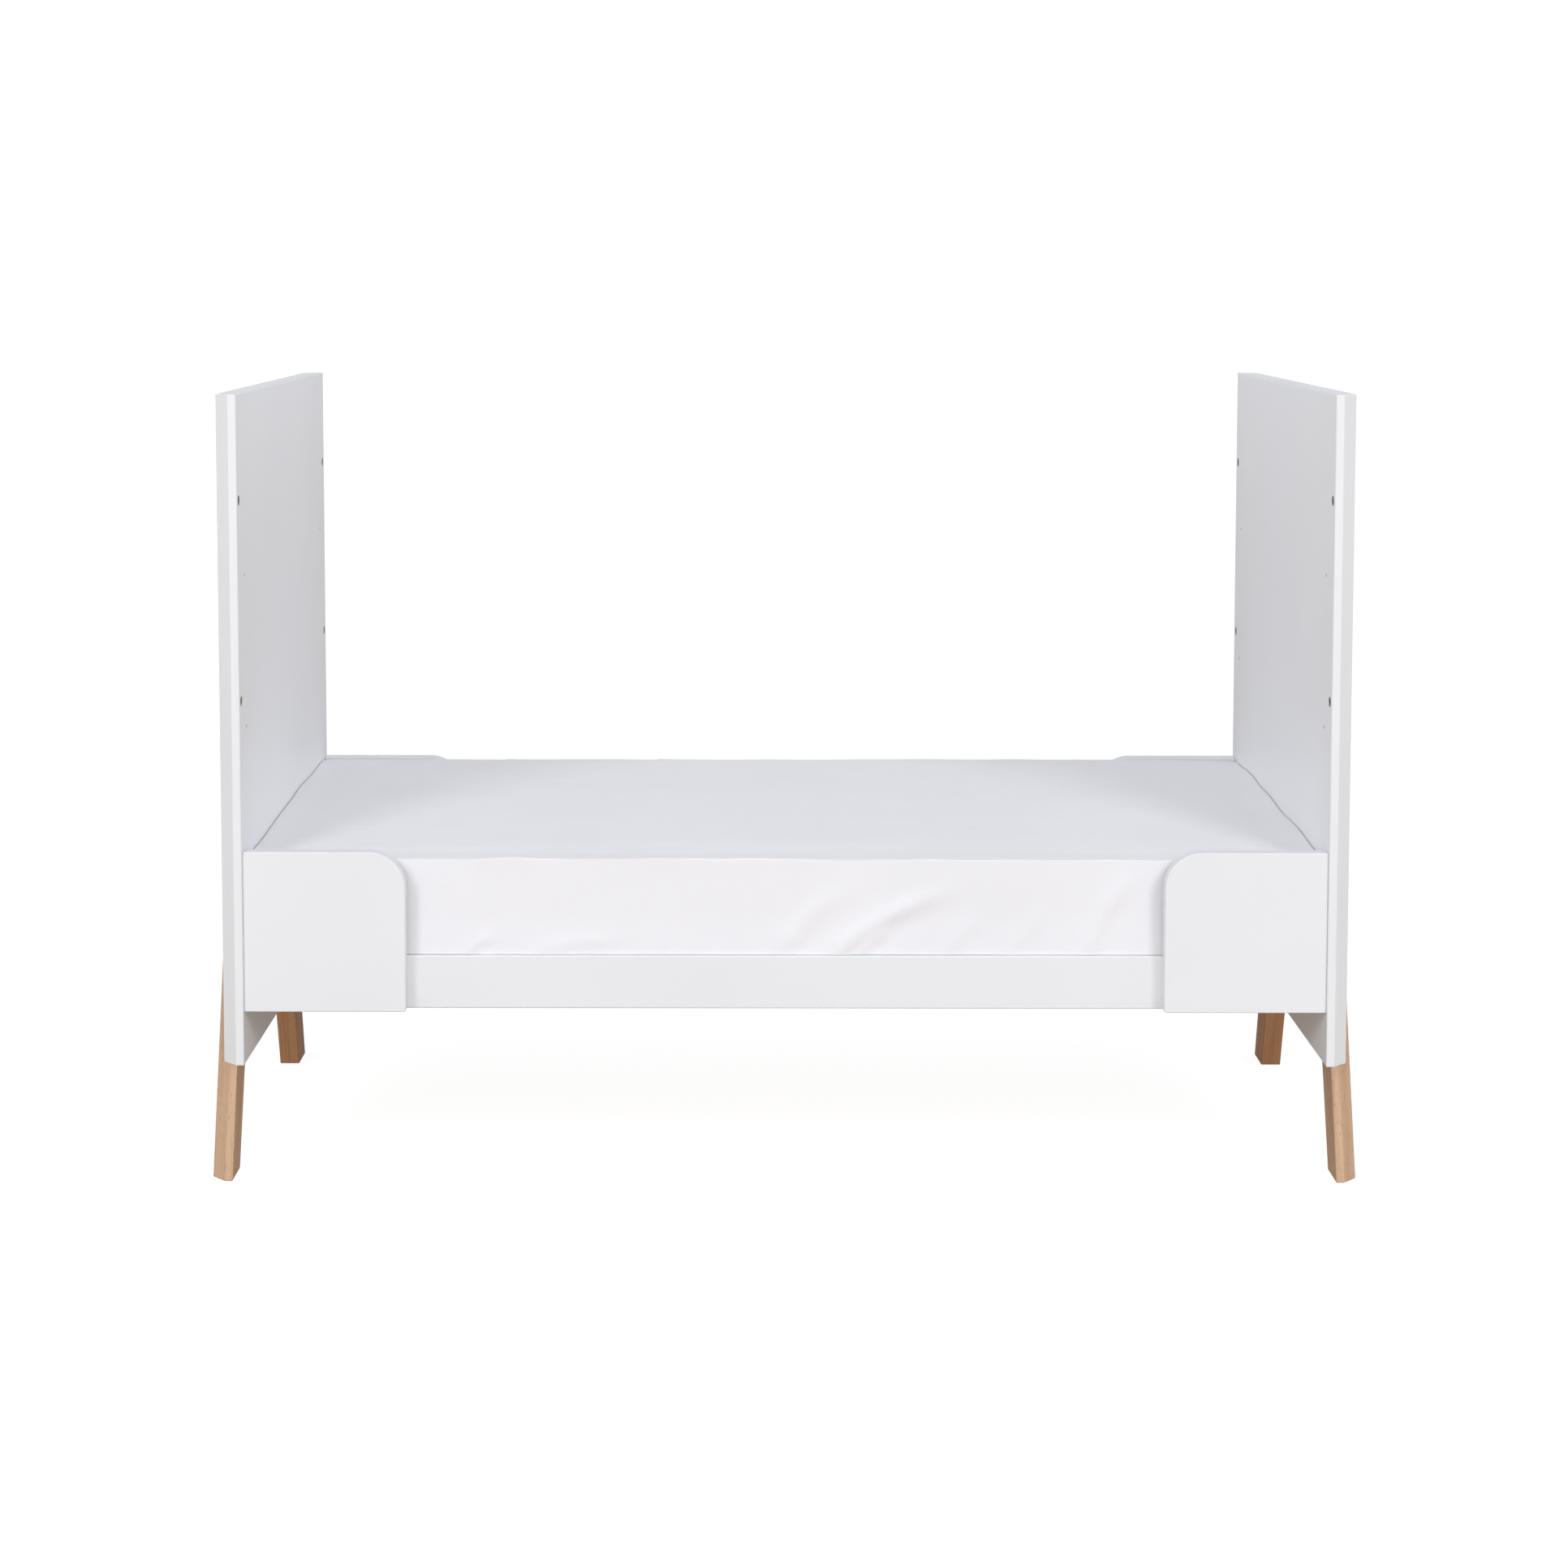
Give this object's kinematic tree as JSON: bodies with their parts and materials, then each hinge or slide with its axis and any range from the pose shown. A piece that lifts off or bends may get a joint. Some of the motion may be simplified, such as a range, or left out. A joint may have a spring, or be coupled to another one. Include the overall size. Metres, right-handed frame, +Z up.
{
  "type": "toddler bed",
  "caption": "Low toddler bed with tall plain white end panels, splayed wooden legs, corner guards, a slatted base and a mattress with a fitted sheet.",
  "frame": {"origin": "on the floor, at the centre of the bed's footprint", "axes": "+Z up, +X along the bed's length to the right as seen from the front, -Y towards the front"},
  "size_m": [1.31, 0.664, 0.902],
  "materials": {
    "white_lacquer": "satin",
    "leg_wood": "satin",
    "slat_wood": "matte",
    "zinc_steel": "satin",
    "brass": "satin",
    "foam": "matte",
    "ticking": "matte",
    "cotton_sheet": "matte",
    "elastic": "matte"
  },
  "bodies": {
    "bed": {"left_end_panel": "white_lacquer", "right_end_panel": "white_lacquer", "front_rail": "white_lacquer", "rear_rail": "white_lacquer", "left_cross_rail": "white_lacquer", "right_cross_rail": "white_lacquer", "front_left_guard": "white_lacquer", "front_right_guard": "white_lacquer", "rear_left_guard": "white_lacquer", "rear_right_guard": "white_lacquer", "front_left_leg": "leg_wood", "front_right_leg": "leg_wood", "rear_left_leg": "leg_wood", "rear_right_leg": "leg_wood", "front_slat_ledge": "slat_wood", "rear_slat_ledge": "slat_wood", "slat_01": "slat_wood", "slat_02": "slat_wood", "slat_03": "slat_wood", "slat_04": "slat_wood", "slat_05": "slat_wood", "slat_06": "slat_wood", "slat_07": "slat_wood", "slat_08": "slat_wood", "slat_09": "slat_wood", "slat_10": "slat_wood", "slat_11": "slat_wood", "slat_12": "slat_wood", "leg_bolts": "zinc_steel", "base_bolts": "zinc_steel", "rail_screws": "zinc_steel", "guard_screws": "zinc_steel", "guard_connectors": "zinc_steel", "slat_screws": "zinc_steel", "ledge_screws": "zinc_steel", "leg_inserts": "brass", "base_inserts": "brass"},
    "mattress": {"mattress_core": "foam", "mattress_cover": "ticking", "fitted_sheet": "cotton_sheet", "sheet_elastic": "elastic"}
  },
  "joints": [
    {"name": "mattress_lift", "type": "slide", "parent": "bed", "child": "mattress", "axis": [0, 0, 1], "range_m": [0, 0.66]}
  ]
}
